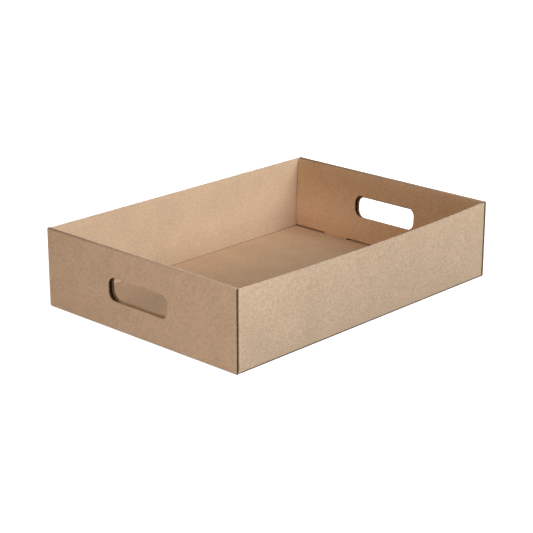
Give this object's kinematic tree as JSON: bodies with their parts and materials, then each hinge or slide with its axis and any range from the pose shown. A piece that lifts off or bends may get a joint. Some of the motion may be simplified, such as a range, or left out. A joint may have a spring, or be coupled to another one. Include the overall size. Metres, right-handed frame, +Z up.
{
  "type": "tray box",
  "caption": "Open rectangular corrugated-board tray folded from a single sheet, with rolled double end walls, locking tabs in the base and rounded hand holes in the ends.",
  "frame": {"origin": "centre of the base's underside, on the surface the tray stands on", "axes": "+X along the tray's length from one rolled end to the other, +Y across the width towards the straight long wall, +Z up"},
  "size_m": [0.44, 0.318, 0.098],
  "materials": {
    "kraft_board": "uncoated brown kraft liner, matt, with a faint washboard of the flutes"
  },
  "bodies": {
    "root": {"folded_tray": "kraft_board"}
  },
  "joints": []
}
